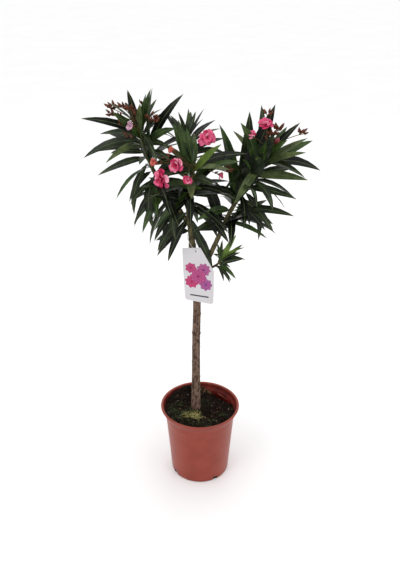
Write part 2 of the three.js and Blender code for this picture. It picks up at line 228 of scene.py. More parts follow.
POT_PLASTIC = wandering("pot_plastic", tint(130, 54, 40), tint(140, 61, 47), 26, 0.36, relief=0.25, grain=40,
                        depth=0.1 * MM)
# Near black: painted shade on the drain slots' sides, for the dark seen through the slots.
POT_SLOT_SHADE = wandering("pot_plastic_slot_shade", tint(12, 7, 6), tint(30, 14, 11), 120, 0.8, relief=0.3,
                       gloss=0.1)
# Darker red plastic: painted shade on the inner wall above the compost and on the lip's underside.
POT_PAINTED_SHADE = wandering("pot_plastic_painted_shade", tint(66, 15, 10), tint(104, 32, 22), 60, 0.5, relief=0.3,
                        gloss=0.2)
# Faces of the inner wall and of the lip's underside take the painted shade.
for face in pot_shell.faces:
    middle = face.calc_center_median()
    facing_in = face.normal.x * middle.x + face.normal.y * middle.y < 0
    inner_wall = facing_in and middle.z < SHADE_PAINTED_TO
    under_lip = face.normal.z < -0.5 and middle.z > BODY_TOP - MM
    face.material_index = 1 if inner_wall or under_lip else 0
# The slots' sides take the near-black painted shade.
for face in slot_sides:
    face.material_index = 2
pot = make_object("pot_wall", pot_shell, [POT_PLASTIC, POT_PAINTED_SHADE, POT_SLOT_SHADE])
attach(pot, "root")
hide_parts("pot")

# ---- Compost. Dark peat compost with its clods, washed down at the back right and heaped at the back, with
# bark, perlite, litter and a dry straw on it. It fills the pot to just under the lip, and holds the stem.
solid_compost = bmesh.new()
solid_compost.from_mesh(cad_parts["compost"].data)
bmesh.ops.remove_doubles(solid_compost, verts=solid_compost.verts, dist=0.01 * MM)
compost_surface = bvhtree.BVHTree.FromBMesh(solid_compost)
solid_compost.free()
COMPOST_REACH = 80 * MM  # as far out as the solid's top can be felt
COMPOST_SEGMENTS = 160
COMPOST_STEP = 1.6 * MM
CLOD = 2.2 * MM
CLOD_SPACING = 11 * MM
SINKS_FROM = 66  # how far out, in millimetres, it starts to sink to the wall
SINKS_OVER = 14
EDGE_GAP = 4.5 * MM  # how far it has shrunk down the wall all round
HEAPED = (105, 40, -8)  # bearing from +X and spread in degrees, and how many millimetres lower: here higher
WASHED = (42, 24, 9)  # and where water has washed it down


def compost_level(x, y):
    """How high the compost lies at a place: the solid's top, with the clods added."""
    inward = min(1, COMPOST_REACH / max(Vector((x, y)).length, MM))
    while True:
        hit = compost_surface.ray_cast(Vector((x * inward, y * inward, 1)), Vector((0, 0, -1)))[0]
        if hit:
            break
        inward *= 0.98
    lumps = noise.fractal(Vector((x, y, 0)) / CLOD_SPACING, 1.0, 2.0, 4)
    out = min(1, max(0, (Vector((x, y)).length / MM - SINKS_FROM) / SINKS_OVER))
    facing = math.degrees(math.atan2(y, x))
    sunk = EDGE_GAP
    for bearing, spread, lower in (HEAPED, WASHED):
        sunk += lower * MM * math.exp(-(((facing - bearing) / spread) ** 2))
    return hit.z + CLOD * lumps - sunk * out * out * (3 - 2 * out)


def wall_inside(height):
    """The inner wall's radius at a height, from above the floor's rounded corner."""
    inner_half = pot_profile[len(pot_profile) // 2:]
    inside = [(r, z) for r, z in inner_half if r > SLOT_FLOOR_RADIUS and z > FLOOR_TOP + MM]
    inside.sort(key=lambda ring: ring[1])
    for (r0, z0), (r1, z1) in zip(inside, inside[1:]):
        if z0 <= height <= z1:
            return r0 + (r1 - r0) * (height - z0) / (z1 - z0)
    return inside[-1][0] if height > inside[-1][1] else inside[0][0]


BED_RADIUS = 84 * MM  # before each ring is fitted to the wall
BED_TOP = 190 * MM
BED_FOOT = ((0, 3.4), (65, 3.4), (68, 9), (78, 135))  # radius and height in millimetres
BED_SKIRT = (14, 10, 7, 4, 2)  # how far below its edge the compost follows the wall
BED_FITTED = 20 * MM  # down to which depth it is fitted
INTO_WALL = 0.5 * MM
bed = bmesh.new()
rings = int(BED_RADIUS / COMPOST_STEP)
section = [(radius * MM, height * MM) for radius, height in BED_FOOT]
section += [(BED_RADIUS, BED_TOP - depth * MM) for depth in BED_SKIRT]
section += [(BED_RADIUS * (rings - i) / rings, BED_TOP) for i in range(rings + 1)]
bed_line = [bed.verts.new((radius, 0, height)) for radius, height in section]
for lower, upper in zip(bed_line, bed_line[1:]):
    bed.edges.new((lower, upper))
bmesh.ops.spin(bed, geom=bed.verts[:] + bed.edges[:], cent=(0, 0, 0), axis=(0, 0, 1), dvec=(0, 0, 0),
               angle=2 * math.pi, steps=COMPOST_SEGMENTS, use_merge=True)
bmesh.ops.remove_doubles(bed, verts=bed.verts, dist=0.01 * MM)
for vertex in bed.verts:
    depth = BED_TOP - vertex.co.z
    if depth < BED_FITTED:
        level = compost_level(vertex.co.x, vertex.co.y) - depth
        reach = (wall_inside(level) + INTO_WALL) / BED_RADIUS
        vertex.co = (vertex.co.x * reach, vertex.co.y * reach, level)
bmesh.ops.recalc_face_normals(bed, faces=bed.faces)
PEAT = wandering("peat", tint(10, 7, 6), tint(42, 32, 26), 190, 0.95, relief=0.9, grain=4, depth=1.2 * MM,
                 gloss=0.1)
compost = make_object("compost_bed", bed, [PEAT])
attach(compost, "root")
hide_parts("compost")

STREWN_SEED = 41
draw = random.Random(STREWN_SEED)
noise.seed_set(STREWN_SEED)  # noise_vector, which roughens the lumps, has its own draw


def scatter(name, material, count, sizes, radii, flat, sink, clumps=None):
    """Strews small angular lumps on the compost, between two radii or round the given places."""
    inner, outer = radii
    strewn = bmesh.new()
    for _ in range(count):
        if clumps:
            x, y, spread = draw.choice(clumps)
            spot = Vector((draw.gauss(x, spread), draw.gauss(y, spread))) * MM
        else:
            away = math.sqrt(draw.uniform(inner ** 2, outer ** 2)) * MM
            spot = Vector((away, 0))
            spot.rotate(Matrix.Rotation(draw.uniform(0, 2 * math.pi), 2))
        if spot.length > outer * MM:
            continue
        size = draw.uniform(*sizes) * MM
        level = compost_level(spot.x, spot.y)
        turned = Matrix.Rotation(draw.uniform(0, 6.3), 4, (draw.random(), draw.random(), draw.random() + 0.1))
        shape = Matrix.Diagonal((size * draw.uniform(0.7, 1.5), size, size * flat, 1))
        place = Matrix.Translation((spot.x, spot.y, level + size * (flat - sink)))
        lump = bmesh.ops.create_icosphere(strewn, subdivisions=1, radius=1, matrix=place @ turned @ shape)
        for corner in lump["verts"]:
            corner.co += noise.noise_vector(corner.co / (2 * MM)) * size * 0.3
    piece = make_object(name, strewn, [material], smooth=False)
    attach(piece, "root")


BARK_CHIP = wandering("bark_chip", tint(62, 42, 30), tint(122, 92, 68), 300, 0.85, gloss=0.15)
PERLITE = wandering("perlite", tint(140, 134, 124), tint(178, 174, 166), 400, 0.8)
LITTER_CLUMPS = [(23, 76, 4), (12, 78, 5)]  # x, y and spread in millimetres
STREWN = {  # its finish, how many, their sizes and radii in millimetres, how flat, and how much of it is sunk
    "compost_crumbs": (PEAT, 1500, (0.7, 2.3), (10, 81), 0.8, 0.4),
    "compost_bark": (BARK_CHIP, 120, (0.8, 2.4), (14, 80), 0.4, 0.1),
    "compost_perlite": (PERLITE, 30, (0.4, 1.1), (14, 80), 0.9, 0.1),
    "compost_litter": (BARK_CHIP, 60, (1.2, 3.2), (0, 84), 0.3, 0, LITTER_CLUMPS),
}
STRAW_ENDS = ((45, 68.1, 168), (68, 45.3, 165))  # it leans on the wall
STRAW_RADII = (0.6, 0.35)
for strewn_name, lumps in STREWN.items():
    scatter(strewn_name, *lumps)
straw = bmesh.new()
straw_foot, straw_tip = (Vector(end) * MM for end in STRAW_ENDS)
lying = (straw_tip - straw_foot).to_track_quat("Z", "Y").to_matrix().to_4x4()
bmesh.ops.create_cone(straw, cap_ends=True, segments=6, radius1=STRAW_RADII[0] * MM,
                      radius2=STRAW_RADII[1] * MM, depth=(straw_tip - straw_foot).length,
                      matrix=Matrix.Translation((straw_foot + straw_tip) / 2) @ lying)
STRAW = wandering("straw", tint(150, 84, 70), tint(184, 122, 104), 90, 0.8)
dry_straw = make_object("compost_straw", straw, [STRAW])
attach(dry_straw, "root")

# ---- Moss. Yellow-green cushions that have grown on the wet compost round the foot of the stem and, darker,
# along the front left of the wall. Each is a tuft of fine upright blades.
MOSS_REACH = 84 * MM
BLADE_HEIGHTS = (1.4, 4.4)
BLADE_RADII = (0.45, 0.05)
MOST_LEAN = 0.9  # in radians
MOSSES = {  # its two tones, how many blades, and its clumps: x, y and spread in millimetres
    "moss_yellow": ((88, 82, 28), (208, 200, 136), 2000,
                    [(-19, -30, 6.5), (-33, -35, 6), (-6, -41, 6), (-12, -33, 7)]),
    "moss_grey": ((58, 64, 46), (116, 122, 96), 900,
                  [(-70, -20, 5), (-62, -38, 6), (-52, -52, 6), (-40, -26, 6), (20, -70, 6)]),
    "moss_green": ((22, 28, 16), (84, 94, 60), 3000,
                   [(-60, -22, 8), (-50, -42, 8), (-30, -58, 8), (-5, -70, 7), (-68, -4, 5), (30, -62, 7),
                    (-45, 10, 6), (-20, -12, 6), (12, 18, 8), (56, -36, 5)]),
}
for moss_name, (dark, light, blades, clumps) in MOSSES.items():
    tuft = bmesh.new()
    for _ in range(blades):
        x, y, spread = draw.choice(clumps)
        spot = Vector((draw.gauss(x, spread), draw.gauss(y, spread))) * MM
        if spot.length > MOSS_REACH:
            continue
        tall = draw.uniform(*BLADE_HEIGHTS) * MM
        lean = Matrix.Rotation(
            draw.uniform(0, MOST_LEAN), 4, (draw.uniform(-1, 1), draw.uniform(-1, 1), 0.01))
        foot = Matrix.Translation((spot.x, spot.y, compost_level(spot.x, spot.y) - 0.2 * MM))
        bmesh.ops.create_cone(tuft, cap_ends=True, segments=3, radius1=BLADE_RADII[0] * MM,
                              radius2=BLADE_RADII[1] * MM, depth=tall,
                              matrix=foot @ lean @ Matrix.Translation((0, 0, tall / 2)))
    MOSS = wandering(moss_name, tint(*dark), tint(*light), 160, 0.8)
    moss = make_object(moss_name, tuft, [MOSS], smooth=False)
    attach(moss, "root")

# ---- Stem and boughs. One woody stem, grey-brown and rough at the foot and greener higher up, with rings of
# old leaf scars and pale breathing pores. The boughs fork from it and taper into green shoots.
LIMB_STATIONS = 14
READ_FROM = {"stem": 0.004, "bough": 0.13}  # the lowest level read, as a share of the solid's height
READ_TO = {"stem": 0.992, "bough": 0.97}  # and the highest: both are clear of its cut ends
STEM_SINK = 4 * MM  # how far the stem's foot goes into the compost
SOCKET_SIZE = 0.93  # of the stem's radius
HEAD_SHOOT = 30 * MM  # how far a shoot grows on past its bough's end
STEM_SOCKET = 7 * MM  # how far the stem's top reaches up into the bough that goes on from it
FOOT_TAPER = 10 * MM  # the length over which a bough's foot narrows as it goes into its limb
FOOT_SWELL = 1.06  # how much thicker a bough is where it springs
FOOT_END = 0.3  # and what is left of its thickness inside its limb
FOOT_INWARD = 0.7  # how far that end has turned to the limb's heart
SHOOT_RADIUS = 0.0013  # where its tip ends
SMALL_SHOOT = {"side_shoot": 0.4}  # its share of the usual growth
STEM_SPACING = 1.1 * MM
BOUGH_SPACING = 1.5 * MM
LIMBS = {  # which limb it springs from, and how many millimetres its foot is sunk in that one
    "trunk": (None, 0),
    "bough_front": (None, 0),
    "bough_left": ("bough_front", 16),
    "bough_back": ("bough_front", 14),
    "bough_right": ("trunk", 34),
    "side_shoot": ("bough_right", 9),
}


def limb_stations(node, parent):
    """A limb's centre and radius at even heights, read off its solid, clear of its cut ends."""
    low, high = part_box(node)
    solid = bmesh.new()
    solid.from_mesh(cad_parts[node].data)
    bmesh.ops.remove_doubles(solid, verts=solid.verts, dist=0.01 * MM)
    from_foot = READ_FROM["bough" if parent else "stem"]
    to_head = READ_TO["stem" if node == "trunk" else "bough"]
    found = []
    for i in range(LIMB_STATIONS):
        share = from_foot + (to_head - from_foot) * i / (LIMB_STATIONS - 1)
        height = low.z + (high.z - low.z) * share
        cut = bmesh.ops.bisect_plane(solid, geom=solid.verts[:] + solid.edges[:] + solid.faces[:],
                                     plane_co=(0, 0, height), plane_no=(0, 0, 1))
        rim = [part for part in cut["geom_cut"] if isinstance(part, bmesh.types.BMEdge)]
        around = sum(edge.calc_length() for edge in rim)
        centre = sum(((edge.verts[0].co + edge.verts[1].co) / 2 * edge.calc_length() for edge in rim),
                     Vector()) / around
        found.append((centre, around / (2 * math.pi)))
    solid.free()
    upright = []
    for i, (centre, radius) in enumerate(found):
        ahead = found[min(i + 1, len(found) - 1)][0] - found[max(i - 1, 0)][0]
        slope = abs(ahead.normalized().z)
        upright.append((centre, radius * 2 * slope / (1 + slope)))  # a slanting limb's level cut is an oval
    return upright


def smooth_line(points, spacing):
    """Evenly spaced points, with their radii, on a smooth curve through the stations."""
    line = []
    for i in range(len(points) - 1):
        p0, p1, p2, p3 = (points[min(max(i + k, 0), len(points) - 1)] for k in (-1, 0, 1, 2))
        steps = max(2, round((p2[0] - p1[0]).length / spacing))
        for step in range(steps):
            t = step / steps
            a, b, c, d = (-t + 2 * t ** 2 - t ** 3, 2 - 5 * t ** 2 + 3 * t ** 3,
                          t + 4 * t ** 2 - 3 * t ** 3, t ** 3 - t ** 2)
            centre = (p0[0] * a + p1[0] * b + p2[0] * c + p3[0] * d) / 2
            line.append((centre, p1[1] + (p2[1] - p1[1]) * t))
    return line + [points[-1]]


limb_lines = {}
for limb_name, (parent, sunk) in LIMBS.items():
    stations = limb_stations(limb_name, parent)
    first, second = stations[0][0], stations[1][0]
    if parent:
        back = (first - second).normalized()
        foot, thick = first + back * sunk * MM, stations[0][1]
        end = foot + back * FOOT_TAPER
        heart = min((centre for centre, _ in limb_lines[parent]), key=lambda centre: (centre - end).length)
        stations[:0] = [(end.lerp(heart, FOOT_INWARD), thick * FOOT_END), (foot, thick * FOOT_SWELL)]
    else:
        stations.insert(0, (first + Vector((0, 0, -STEM_SINK)), stations[0][1]))
    last, thick = stations[-1]
    if limb_name == "trunk":
        stations.append((last + Vector((0, 0, STEM_SOCKET)), thick * SOCKET_SIZE))
    else:
        onward = ((last - stations[-2][0]).normalized() + Vector((0, 0, 0.5))).normalized()
        stations.append((last + onward * (HEAD_SHOOT * SMALL_SHOOT.get(limb_name, 1)), SHOOT_RADIUS))
    limb_lines[limb_name] = smooth_line(stations, BOUGH_SPACING if parent else STEM_SPACING)


def tube_of_rings(shape, around, count):
    """A closed tube of rings laid on each other, each ring's corners in order round it."""
    corners = bmesh.ops.create_circle(shape, segments=around, radius=1)["verts"]
    edges = list({edge for corner in corners for edge in corner.link_edges})
    rings = [corners]
    for _ in range(count - 1):
        grown = bmesh.ops.extrude_edge_only(shape, edges=edges)["geom"]
        corners = [part for part in grown if isinstance(part, bmesh.types.BMVert)]
        fresh = set(corners)
        edges = [part for part in grown
                 if isinstance(part, bmesh.types.BMEdge) and fresh.issuperset(part.verts)]
        rings.append(corners)
    for ring in rings:
        ring.sort(key=lambda corner: math.atan2(corner.co.y, corner.co.x))
    for end in (rings[0], rings[-1]):
        bmesh.ops.contextual_create(shape, geom=end)
    return rings


def sweep(shape, line, around, relief=None):
    """A tube along a line of centres and radii. The relief says how far the skin stands proud at a turn."""
    for step, ring in enumerate(tube_of_rings(shape, around, len(line))):
        centre, radius = line[step]
        ahead = line[min(step + 1, len(line) - 1)][0] - line[max(step - 1, 0)][0]
        across = Vector((0, 1, 0)).cross(ahead).normalized()
        over = ahead.cross(across).normalized()
        for i, corner in enumerate(ring):
            turn = 2 * math.pi * i / around
            out = across * math.cos(turn) + over * math.sin(turn)
            proud = relief(out, centre, radius) if relief else 0
            corner.co = centre + out * (radius + proud)


STEM_SIDES = 64
BOUGH_SIDES = 20
RIDGES = ((3, 22, 0.2), (11, 5, 0.16))  # how many round the stem, and their length and height in millimetres
SCAR_SPACING = 41 * MM
SCAR_WIDTH = 1.3 * MM
NUBS = [((-1, 0.1), 384.6), ((1, 0.1), 384.6), ((0.9, -0.4), 437), ((-0.8, -0.5), 262)]  # towards, height
NUB_HEIGHT = 1.9
NUB_REACH = 2.6 * MM  # round the stem
NUB_RISE = 2.2 * MM
BARK_DEPTH = 0.6 * MM
JOINT_SPACING = 17  # of the young wood, in millimetres
JOINT_WIDTH = 1.6


def bark_relief(out, centre, radius):
    """Upright fissures, pores in short level rows, rings of leaf scars and the nubs of cut side shoots."""
    place = centre + out * radius
    proud = 0
    for many, long, high in RIDGES:
        proud += noise.noise(Vector((out.x * many, out.y * many, place.z / (long * MM)))) * high
    proud += max(0, noise.noise(Vector((out.x * 5 + 7, out.y * 5, place.z / (2.2 * MM)))) - 0.28) * 1.1
    ring = (place.z / SCAR_SPACING) % 1 - 0.5
    scar = math.exp(-((ring * SCAR_SPACING / SCAR_WIDTH) ** 2))
    bearing = math.atan2(out.y, out.x) + (place.z // SCAR_SPACING) * math.pi / 3
    scar *= 0.25 + 0.5 * max(0, math.cos(3 * bearing)) ** 3
    nub = 0
    for (x, y), height in NUBS:
        near = (out - Vector((x, y, 0)).normalized() * 0.9).length * radius
        nub += NUB_HEIGHT * math.exp(-((near / NUB_REACH) ** 2) - ((place.z - height * MM) / NUB_RISE) ** 2)
    return (proud + scar + nub) * MM


def share_between(material, value, low, high):
    """How far a value has come from the low mark to the high one, from 0 to 1."""
    marks = material.node_tree.nodes.new("ShaderNodeMapRange")
    marks.inputs["From Min"].default_value = low
    marks.inputs["From Max"].default_value = high
    material.node_tree.links.new(value, marks.inputs["Value"])
    return marks.outputs["Result"]


def lay_over(material, under, colour, share):
    """Lays one colour over another by a share from 0 to 1."""
    over = material.node_tree.nodes.new("ShaderNodeMix")
    over.data_type = "RGBA"
    for socket, value in ((over.inputs[0], share), (over.inputs[6], under), (over.inputs[7], colour)):
        if isinstance(value, tuple):
            socket.default_value = value
        else:
            material.node_tree.links.new(value, socket)
    return over.outputs[2]


def speckle(material, colour, scale, stretch, least):
    """Adds small spots of another colour, where a fine noise rises above the least value."""
    nodes, links = material.node_tree.nodes, material.node_tree.links
    shader = nodes["Principled BSDF"]
    under = shader.inputs["Base Color"].links[0].from_socket
    spreading = nodes.new("ShaderNodeMapping")
    spreading.inputs["Scale"].default_value = stretch
    links.new(nodes["Texture Coordinate"].outputs["Object"], spreading.inputs["Vector"])
    spots = nodes.new("ShaderNodeTexNoise")
    spots.inputs["Scale"].default_value = scale
    spots.inputs["Detail"].default_value = 1
    links.new(spreading.outputs["Vector"], spots.inputs["Vector"])
    spotted = share_between(material, spots.outputs["Fac"], least, least + 0.04)
    links.new(lay_over(material, under, colour, spotted), shader.inputs["Base Color"])


def change_over(material, dark, light, low, high):
    """Lets a bark's two tones change over to two others between two heights."""
    nodes, links = material.node_tree.nodes, material.node_tree.links
    shader = nodes["Principled BSDF"]
    older = shader.inputs["Base Color"].links[0].from_socket
    younger = two_tones(material, nodes["Noise Texture"].outputs["Fac"], dark, light).outputs["Color"]
    apart = nodes.new("ShaderNodeSeparateXYZ")
    links.new(nodes["Texture Coordinate"].outputs["Object"], apart.inputs["Vector"])
    risen = share_between(material, apart.outputs["Z"], low, high)
    links.new(lay_over(material, older, younger, risen), shader.inputs["Base Color"])


YOUNG_WOOD = (tint(46, 41, 28), tint(104, 96, 68))
GREEN_WOOD = (tint(42, 44, 26), tint(86, 92, 52))
BARK = wandering("bark", tint(46, 34, 28), tint(120, 97, 84), 210, 0.9, stretch=(1, 1, 0.4), relief=0.8,
                 depth=BARK_DEPTH, gloss=0.15)
speckle(BARK, tint(166, 144, 126), 480, (1, 1, 0.8), 0.68)
change_over(BARK, *YOUNG_WOOD, 0.53, 0.6)
wood = bmesh.new()
sweep(wood, limb_lines["trunk"], STEM_SIDES, bark_relief)
bmesh.ops.recalc_face_normals(wood, faces=wood.faces)
trunk = make_object("stem_bark", wood, [BARK])
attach(trunk, "root")
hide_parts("trunk")


def green_relief(out, centre, radius):
    """Young wood is smoother: faint ridges, and a low ring at each old leaf joint."""
    place = centre + out * radius
    ridges = noise.noise(place / (6 * MM)) * 0.22
    joint = (place.z / (JOINT_SPACING * MM)) % 1 - 0.5
    return (ridges + 0.45 * math.exp(-((joint * JOINT_SPACING / JOINT_WIDTH) ** 2))) * MM


BOUGHS = ("bough_front", "bough_left", "bough_back", "bough_right", "side_shoot")
young_wood = bmesh.new()
for limb_name in BOUGHS:
    sweep(young_wood, limb_lines[limb_name], BOUGH_SIDES, green_relief)
bmesh.ops.recalc_face_normals(young_wood, faces=young_wood.faces)
GREEN_BARK = wandering("green_bark", *YOUNG_WOOD, 120, 0.75, stretch=(1, 1, 0.4), relief=0.6, depth=0.5 * MM,
                       gloss=0.2)
change_over(GREEN_BARK, *GREEN_WOOD, 0.66, 0.8)
boughs = make_object("boughs_bark", young_wood, [GREEN_BARK])
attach(boughs, "root")
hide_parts(*BOUGHS)

# ---- Leaves. Leathery lance-shaped leaves in whorls of three, each whorl turned a sixth of a turn from the
# last. Young ones stand up round the shoot's tip; older ones are longer, spread and droop. Each grows from
# its joint on the shoot to one of the outline's tips, and the seeded rule then fills each joint up to three.
LEAF_RINGS = (0, 0.045, 0.13, 0.27, 0.44, 0.61, 0.78, 0.91, 1)
LEAF_SECTION = ((-1, 0), (-0.55, 1), (-0.05, 1), (0.05, 1), (0.55, 1), (1, 0), (0, -1))  # across, top or back
LEAF_THICK = 0.22 * MM
RIB = 0.42 * MM  # half its width
STALK_HALF = 0.6 * MM
GROWS_ON = {
    "foliage_left": ("bough_left",),
    "foliage_right": ("bough_right",),
    "foliage_front": ("bough_front",),
    "foliage_back": ("bough_back",),
    "foliage_middle": ("bough_front", "bough_left", "bough_back"),
    "foliage_right_lower": ("bough_right",),
    "foliage_side_shoot": ("side_shoot",),
}
LEAFY = {  # how far down from its tip a shoot has leaves, in millimetres
    "bough_left": 185, "bough_right": 200, "bough_front": 180, "bough_back": 145, "side_shoot": 34,
}
SMALL_GAPS = {"side_shoot": 0.45}  # its share of the usual gaps between joints
USUAL_LENGTHS = (68, 116)  # of the youngest and of the oldest leaves on a shoot
SMALL_LENGTHS = {"side_shoot": (22, 48)}
GROWN = 30 * MM  # how far down the shoot a leaf has its full length
FIRST_JOINT = 3 * MM
WHORL_GAP = 5 * MM  # between the youngest joints
WHORL_GAIN = 0.85 * MM  # and how much each next one is wider
WIDEST_GAP = {"bough_left": 9.5, "bough_right": 10, "side_shoot": 15}
USUAL_WIDEST_GAP = 17
WHORL_LEAVES = 3
LEAN_YOUNGEST = 14  # degrees off the shoot
LEAN_GAIN = 92  # how many more the oldest have
LEAN_OVER = 40  # in how many millimetres of shoot most of that is gained
DROOP = 14 * MM  # of the oldest leaves' tips
DROOPS_BY = 150 * MM  # how far down the shoot those are
LIGHT = Vector((-0.1, -0.8, 0.6))  # where the leaves turn their faces
LEAF_BREADTH = 0.17  # of its length
TONES = ("dark", "dark", "old", "old", "mid", "light")
TONES_LOW = ("dark", "dark", "dark", "old", "old", "mid")  # of the oldest
LOW = 95 * MM  # how far down the shoot those are
TONES_SHORT = ("mid", "mid", "old", "dark")
SHORT = 60 * MM
HEAD_LEAVES = {  # the leaves that spread each head: tips in millimetres from the shoot's tip, and their tone
    "bough_left": [
        ((19, -40, 73), "mid"), ((27, -20, 78), "mid"), ((8, -50, 56), "light"), ((35, 30, 48), "old"),
        ((45, 50, 24), "old"), ((-45, -70, 45), "mid"), ((77, -55, 10), "mid"), ((64, -85, -44), "old"),
        ((-68, 50, -70), "old"), ((-30, 40, 40), "old"), ((-70, 60, -30), "old"), ((-90, 30, -60), "old"),
        ((60, -70, -20), "old"), ((40, -80, -50), "old"), ((-20, -85, -20), "old"),
    ],
    "bough_back": [
        ((3, 20, 54), "mid"), ((18, 45, 42), "old"), ((-18, -15, 55), "old"), ((33, 0, 37), "old"),
        ((-47, 10, 46), "old"),
    ],
    "bough_front": [
        ((-31, 6, 84), "mid"), ((-14, -34, 79), "mid"), ((53, -49, 51), "young"), ((92, -29, 11), "mid"),
        ((38, -74, -22), "old"), ((86, 56, 10), "old"), ((-91, -44, -62), "old"), ((-20, -59, -6), "light"),
    ],
    "bough_right": [
        ((-50, -50, 89), "mid"), ((-3, 40, 103), "old"), ((85, -30, 53), "light"), ((105, 30, 32), "mid"),
        ((80, -55, 31), "light"), ((-60, -70, -70), "light"), ((-47, -85, 26), "mid"),
        ((-1, -75, 57), "mid"), ((-11, -45, -88), "old"), ((53, 50, 56), "mid"), ((-60, 40, 50), "light"),
        ((20, -60, -90), "old"), ((-80, -20, -60), "old"), ((-40, -75, -40), "old"), ((40, -70, 60), "mid"),
        ((-20, -70, 20), "light"), ((70, 40, -30), "old"), ((90, -40, -30), "light"),
    ],
    "side_shoot": [
        ((33, -3, 51), "young"), ((51, -13, 25), "young"), ((48, 22, 17), "mid"), ((21, -23, -18), "old"),
        ((50, -6, -5), "old"), ((21, -13, -60), "dark"), ((8, 7, -66), "dark"), ((28, 17, -52), "dark"),
        ((4, 27, 26), "mid"), ((-9, -5, 33), "mid"),
    ],
}
HEAD_DEPTH = 64 * MM  # how far down the shoot those leaves are joined
LOW_LEAVES = {  # single leaves lower down, placed the same way
    "bough_front": [
        ((39, 32, -253), "old"), ((24, 46, -235), "old"), ((-85, 6, -174), "dark"), ((-80, 26, -206), "old"),
        ((-57, 6, -221), "dark"), ((-83, 50, -228), "dark"), ((-83, -9, -143), "mid"),
    ],
    "bough_left": [
        ((26, -50, -205), "old"), ((-20, -45, -150), "old"), ((-25, -20, -154), "dark"),
        ((-15, -30, -179), "old"), ((12, 0, -205), "dark"),
    ],
    "bough_right": [
        ((-3, -10, -174), "dark"), ((10, -20, -147), "dark"), ((26, -40, -144), "old"),
        ((70, -35, -72), "old"), ((-22, 0, -144), "dark"),
    ],
}
CARD_SPACE = ((-46, -160, 470), (34, -2, 612))  # no leaf hangs in front of the label,
CARD_SIGHT = 0.44  # not even seen from above at this slope
SIGHT_STEPS = (0.3, 0.45, 0.6, 0.75, 0.9)  # where along a leaf that is looked at
IN_VIEW = [  # and none stands before a bloom: its place and reach in millimetres
    (-83, -60, 773, 18), (-49, -60, 803, 17), (-24, -75, 779, 14), (16, -28, 851, 17), (-90, -52, 806, 12),
    (-57, -48, 830, 10), (131, -15, 877, 15), (102, -30, 857, 11), (-137, -30, 873, 12), (42, -40, 777, 9),
]
RIGHT_LOWEST = 616 * MM  # below that the right bough's leaves have dropped
MISFIT = {"length": 8, "lean": 2.2, "crowd": 4, "full": 50}  # what each fault of a leaf's place weighs


def blade_form(name, rings, section):
    """The pattern that leaves and petals are laid out from: across, along and side as its three measures."""
    form = bmesh.new()
    made = tube_of_rings(form, len(section), len(rings))
    for along, ring in zip(rings, made):
        for (across, side), corner in zip(section, ring):
            corner.co = (across, along, side)
    for face in form.faces:
        middle = face.calc_center_median()
        on_top = middle.z > 0.1
        face.material_index = 2 if not on_top else (1 if abs(middle.x) < 0.02 else 0)
    for edge in form.edges:
        edge.smooth = not all(abs(corner.co.x) > 0.99 for corner in edge.verts)
    mesh = bpy.data.meshes.new(name)
    form.to_mesh(mesh)
    form.free()
    return mesh


def grow_blade(shape, form, spine, breadth, across, fold, roll, twist, thick, tones, ruffle=0):
    """Lays one leaf or petal along a bent spine. breadth(t) is half its width, across is its side."""
    start, middle, end = spine
    corners, faces = len(shape.verts), len(shape.faces)
    shape.from_mesh(form)
    shape.verts.ensure_lookup_table()
    shape.faces.ensure_lookup_table()
    for corner in shape.verts[corners:]:
        u, t, side = corner.co
        point = start * (1 - t) ** 2 + middle * 2 * t * (1 - t) + end * t ** 2
        ahead = ((middle - start) * (1 - t) + (end - middle) * t).normalized()
        turn = Matrix.Rotation(roll + twist * t, 3, ahead)
        sideways = (turn @ across).normalized()
        up = sideways.cross(ahead)
        half = breadth(t)
        reach = math.copysign(min(RIB, half * 0.5), u) if 0 < abs(u) < 0.1 else u * half
        lift = fold * abs(reach) + (0.06 * half if 0.3 < abs(u) < 0.9 else 0)
        lift += side * thick * (1.5 - t if side < 0 else 1)
        lift += ruffle * half * math.sin(7 * t + 3 * u + roll * 5)
        corner.co = point + sideways * reach + up * lift
    for face in shape.faces[faces:]:
        face.material_index = tones[face.material_index]


def leaf_breadth(length):
    """Half the width along a lance-shaped leaf: a short stalk, widest before the middle, a long thin tip."""
    widest = LEAF_BREADTH * length / 2
    return lambda t: max(STALK_HALF * (1 - t), widest * (max(t - 0.04, 0) ** 0.7 * (1 - t) ** 0.9) / 0.325)


def lobe_tips(node):
    """Where the lobes of a mass of foliage end: its corners that stand out beyond all their neighbours."""
    mass = bmesh.new()
    mass.from_mesh(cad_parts[node].data)
    bmesh.ops.remove_doubles(mass, verts=mass.verts, dist=0.01 * MM)
    heart = sum((corner.co for corner in mass.verts), Vector()) / len(mass.verts)
    far = {corner: (corner.co - heart).length for corner in mass.verts}
    usual = sorted(far.values())[len(far) // 2]
    tips = [corner.co.copy() for corner in mass.verts if far[corner] > 1.35 * usual
            and all(far[edge.other_vert(corner)] < far[corner] for edge in corner.link_edges)]
    mass.free()
    return sorted(tips, key=lambda tip: (round(tip.z, 4), round(tip.x, 4)))


def whorl_places(limb_name):
    """The joints down a shoot, close together at its tip, each with the leaves that it has so far."""
    line = [centre for centre, _ in limb_lines[limb_name]][::-1]
    small = SMALL_GAPS.get(limb_name, 1)
    widest = WIDEST_GAP.get(limb_name, USUAL_WIDEST_GAP) * MM * small
    whorls, gone, due, gap = [], 0, FIRST_JOINT * small, WHORL_GAP * small
    leafy = LEAFY[limb_name] * MM
    for before, after in zip(line, line[1:]):
        gone += (after - before).length
        if gone >= due and gone < leafy:
            axis = (before - after).normalized()
            whorls.append({"at": after, "axis": axis, "down": gone / small, "out": [], "limb": limb_name})
            due, gap = due + gap, min(gap + WHORL_GAIN * small, widest)
    return whorls


def off_axis(axis, direction):
    """The part of a direction that is square to an axis."""
    return (direction - axis * direction.dot(axis)).normalized()


def lengths_of(whorl):
    """How long the leaves at a joint are."""
    young, old = SMALL_LENGTHS.get(whorl["limb"], USUAL_LENGTHS)
    return (young + (old - young) * min(1, whorl["down"] / GROWN)) * MM


